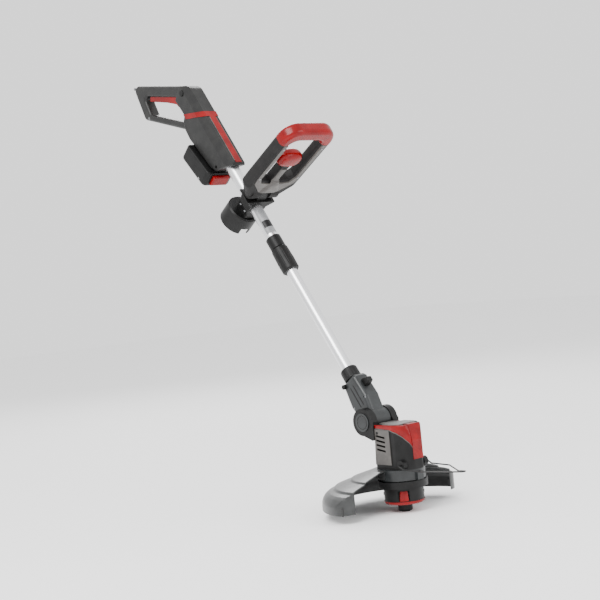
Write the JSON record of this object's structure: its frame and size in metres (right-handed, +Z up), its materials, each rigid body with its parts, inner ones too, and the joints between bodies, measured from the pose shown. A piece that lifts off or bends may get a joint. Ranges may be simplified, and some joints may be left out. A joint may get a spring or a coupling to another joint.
{
  "type": "string trimmer",
  "caption": "Battery string trimmer with a tilting bump-feed head, half-round guard, wire edge guard, telescoping shaft, front loop handle and rear trigger grip.",
  "frame": {"origin": "on the spool axis, at the underside of the bump knob, where the trimmer touches the ground", "axes": "+X forward from the operator towards the cutting head, +Y to the operator's left, +Z up; the shaft rises backward at 55 degrees"},
  "size_m": [0.9618, 0.3266, 0.9805],
  "materials": {
    "black_plastic": "moulded black plastic, lightly textured",
    "grip_rubber": "dark soft grip",
    "red_plastic": "glossy red moulded plastic",
    "grey_plastic": "warm light grey plastic",
    "dark_grey_plastic": "dark grey plastic",
    "tube_alloy": "satin aluminium tube",
    "steel": "plain steel",
    "wire_steel": "bright steel wire",
    "cell_wrap": "shrink wrapped cells",
    "nylon_line": "nylon cutting line"
  },
  "bodies": {
    "rear": {"rear_housing_left": "black_plastic", "rear_housing_right": "black_plastic", "housing_trim": "red_plastic", "trigger_pin": "steel", "switch": "black_plastic", "terminal_block": "dark_grey_plastic", "housing_screws": "steel", "upper_tube": "tube_alloy", "lock_collar": "black_plastic", "lock_collet": "black_plastic", "clamp_upper": "dark_grey_plastic", "clamp_lower": "dark_grey_plastic", "clamp_bolts": "steel", "spare_spool_holder": "dark_grey_plastic", "handle_hinge_pin": "steel"},
    "trigger": {"trigger": "red_plastic"},
    "lock_off": {"lock_off_button": "dark_grey_plastic"},
    "battery": {"battery_case_upper": "black_plastic", "battery_case_lower": "black_plastic", "battery_cells": "cell_wrap"},
    "battery_latch": {"battery_latch": "red_plastic"},
    "lock_sleeve": {"lock_sleeve": "black_plastic"},
    "handle": {"handle_frame": "grip_rubber", "handle_front_plate": "grey_plastic", "handle_cover": "red_plastic", "handle_screws": "steel"},
    "handle_button": {"handle_button": "red_plastic"},
    "lower_shaft": {"lower_tube": "tube_alloy", "tube_bushing": "black_plastic", "swivel_collar": "black_plastic"},
    "neck": {"neck_left": "black_plastic", "neck_right": "black_plastic", "neck_screws": "steel"},
    "turn_button": {"turn_button": "dark_grey_plastic"},
    "tilt_button": {"tilt_button": "dark_grey_plastic"},
    "head": {"head_housing_left": "black_plastic", "head_housing_right": "black_plastic", "vent_panel_left": "grey_plastic", "vent_panel_right": "grey_plastic", "head_cover": "red_plastic", "head_top_cap": "grey_plastic", "pivot_pin": "steel", "pivot_caps": "dark_grey_plastic", "motor": "steel", "head_base": "grey_plastic", "head_screws": "steel", "guard": "black_plastic", "cutter_blade": "steel"},
    "wire_guard": {"wire_guard": "wire_steel"},
    "spool_drive": {"motor_shaft": "steel", "drive_hub": "black_plastic", "spool_housing": "black_plastic", "line_eyelets": "steel", "spool_cap": "red_plastic", "spool": "black_plastic", "cutting_line": "nylon_line", "bump_spring": "steel"},
    "tab_left": {"spool_tab_left": "red_plastic"},
    "tab_right": {"spool_tab_right": "red_plastic"},
    "bump": {"bump_knob": "black_plastic"}
  },
  "joints": [
    {"name": "trigger_pull", "type": "hinge", "parent": "rear", "child": "trigger", "pos_m": [-0.60452, 0, 0.92317], "axis": [0, 1, 0], "range_deg": [0, 5], "stiffness_Nm_per_rad": 3, "springref_deg": -114.59},
    {"name": "lock_off_press", "type": "slide", "parent": "rear", "child": "lock_off", "axis": [0, 1, 0], "range_m": [0, 0.003], "stiffness_N_per_m": 400},
    {"name": "battery_slide", "type": "slide", "parent": "rear", "child": "battery", "axis": [0.682, 0, -0.7314], "range_m": [0, 0.055]},
    {"name": "battery_latch_press", "type": "slide", "parent": "battery", "child": "battery_latch", "axis": [-0.682, 0, 0.7314], "range_m": [0, 0.003], "stiffness_N_per_m": 900},
    {"name": "lock_twist", "type": "hinge", "parent": "rear", "child": "lock_sleeve", "pos_m": [-0.29857, 0, 0.52458], "axis": [-0.5736, 0, 0.8192], "range_deg": [0, 60]},
    {"name": "handle_tilt", "type": "hinge", "parent": "rear", "child": "handle", "pos_m": [-0.35536, 0, 0.68347], "axis": [0, 1, 0], "range_deg": [-30, 30]},
    {"name": "handle_button_press", "type": "slide", "parent": "handle", "child": "handle_button", "axis": [-0.866, 0, -0.5], "range_m": [0, 0.006], "stiffness_N_per_m": 700},
    {"name": "telescope", "type": "slide", "parent": "rear", "child": "lower_shaft", "axis": [-0.5736, 0, 0.8192], "range_m": [0, 0.2]},
    {"name": "head_turn", "type": "hinge", "parent": "lower_shaft", "child": "neck", "pos_m": [-0.11674, 0, 0.26491], "axis": [-0.5736, 0, 0.8192], "range_deg": [0, 180]},
    {"name": "turn_button_press", "type": "slide", "parent": "neck", "child": "turn_button", "axis": [-0.8192, 0, -0.5736], "range_m": [0, 0.003], "stiffness_N_per_m": 500},
    {"name": "tilt_button_press", "type": "slide", "parent": "neck", "child": "tilt_button", "axis": [0, 1, 0], "range_m": [0, 0.0025], "stiffness_N_per_m": 500},
    {"name": "head_tilt", "type": "hinge", "parent": "neck", "child": "head", "pos_m": [-0.0634, 0, 0.1814], "axis": [0, 1, 0], "range_deg": [-20, 30]},
    {"name": "wire_guard_flip", "type": "hinge", "parent": "head", "child": "wire_guard", "pos_m": [0.033, 0, 0.098], "axis": [0, -1, 0], "range_deg": [0, 70]},
    {"name": "spool_spin", "type": "hinge", "parent": "head", "child": "spool_drive", "pos_m": [0, 0, 0], "axis": [0, 0, 1], "continuous": true},
    {"name": "tab_left_press", "type": "slide", "parent": "spool_drive", "child": "tab_left", "axis": [0.7071, -0.7071, 0], "range_m": [0, 0.0015], "stiffness_N_per_m": 600},
    {"name": "tab_right_press", "type": "slide", "parent": "spool_drive", "child": "tab_right", "axis": [-0.7071, 0.7071, 0], "range_m": [0, 0.0015], "stiffness_N_per_m": 600},
    {"name": "bump_press", "type": "slide", "parent": "spool_drive", "child": "bump", "axis": [0, 0, 1], "range_m": [0, 0.0035], "stiffness_N_per_m": 8000, "springref_m": -0.004, "deforming": ["bump_spring"]}
  ]
}
